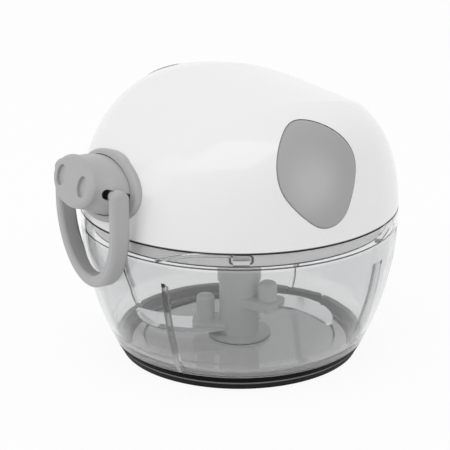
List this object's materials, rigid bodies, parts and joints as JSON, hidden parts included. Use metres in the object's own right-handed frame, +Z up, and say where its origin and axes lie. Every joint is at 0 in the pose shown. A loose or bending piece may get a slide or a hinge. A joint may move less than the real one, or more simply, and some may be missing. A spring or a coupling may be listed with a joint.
{
  "type": "pull cord food chopper",
  "caption": "Hand food chopper: round clear bowl with a sickle blade set under a white domed lid, worked by a pull ring and cord on a knob at the front.",
  "frame": {"origin": "on the bowl's axis, at the level of the surface it stands on", "axes": "+Z up; the cord is pulled out towards -Y; the grip pads face +X and -X"},
  "size_m": [0.1314, 0.1426, 0.1116],
  "materials": {
    "clear_bowl": "clear moulded plastic, glossy",
    "foot_rubber": "dark soft rubber",
    "steel": "ground and polished stainless steel",
    "hub_plastic": "grey moulded plastic",
    "lid_white": "glossy white moulded plastic",
    "grip_grey": "soft-touch grey, finely textured",
    "knob_grey": "satin grey moulded plastic",
    "seal_dark": "dark silicone",
    "inner_white": "plain white moulded plastic",
    "reel_plastic": "natural nylon",
    "cord": "braided cord"
  },
  "bodies": {
    "bowl": {"bowl": "clear_bowl", "foot_ring": "foot_rubber", "pivot_pin": "steel"},
    "blades": {"blade_hub": "hub_plastic", "lower_blade": "steel", "upper_blade": "steel"},
    "seal": {"lid_seal": "seal_dark"},
    "lid": {"lid_shell": "lid_white", "grip_pad_right": "grip_grey", "grip_pad_left": "grip_grey", "cord_collar": "knob_grey", "cord_eyelet": "reel_plastic", "collar_retainer": "steel", "mechanism_cover": "inner_white", "cover_screws": "steel", "reel_bridge": "inner_white", "bridge_screws": "steel", "reel_axle": "steel", "axle_clip": "steel", "cord_lead": "cord", "rewind_spring": "steel"},
    "reel": {"cord_reel": "reel_plastic", "wound_cord": "cord"},
    "drive": {"drive_socket": "reel_plastic", "drive_pawls": "reel_plastic"},
    "knob": {"pull_knob": "knob_grey", "knob_base": "knob_grey", "knob_cord": "cord"},
    "ring": {"pull_ring": "knob_grey"}
  },
  "joints": [
    {"name": "lid_lift", "type": "slide", "parent": "bowl", "child": "seal", "axis": [0, 0, 1], "range_m": [0, 0.09]},
    {"name": "lid_turn", "type": "hinge", "parent": "seal", "child": "lid", "pos_m": [0, 0, 0.063], "axis": [0, 0, -1], "range_deg": [0, 15]},
    {"name": "cord_pull", "type": "slide", "parent": "lid", "child": "knob", "axis": [0, -0.9627, 0.2706], "range_m": [0, 0.35], "stiffness_N_per_m": 12, "springref_m": -0.3},
    {"name": "reel_spin", "type": "hinge", "parent": "lid", "child": "reel", "pos_m": [0, 0, 0.072], "axis": [0, 0, -1], "continuous": true},
    {"name": "drive_spin", "type": "hinge", "parent": "lid", "child": "drive", "pos_m": [0, 0, 0.066], "axis": [0, 0, -1], "continuous": true},
    {"name": "blade_spin", "type": "hinge", "parent": "bowl", "child": "blades", "pos_m": [0, 0, 0.007], "axis": [0, 0, -1], "continuous": true},
    {"name": "ring_swing", "type": "hinge", "parent": "knob", "child": "ring", "pos_m": [0, -0.06696, 0.081], "axis": [-1, 0, 0], "range_deg": [0, 170]}
  ],
  "couplings": [
    {"joint": "reel_spin", "follows": "cord_pull", "rad_per_m": 50.761},
    {"joint": "drive_spin", "follows": "cord_pull", "rad_per_m": 50.761},
    {"joint": "blade_spin", "follows": "cord_pull", "rad_per_m": 50.761}
  ]
}
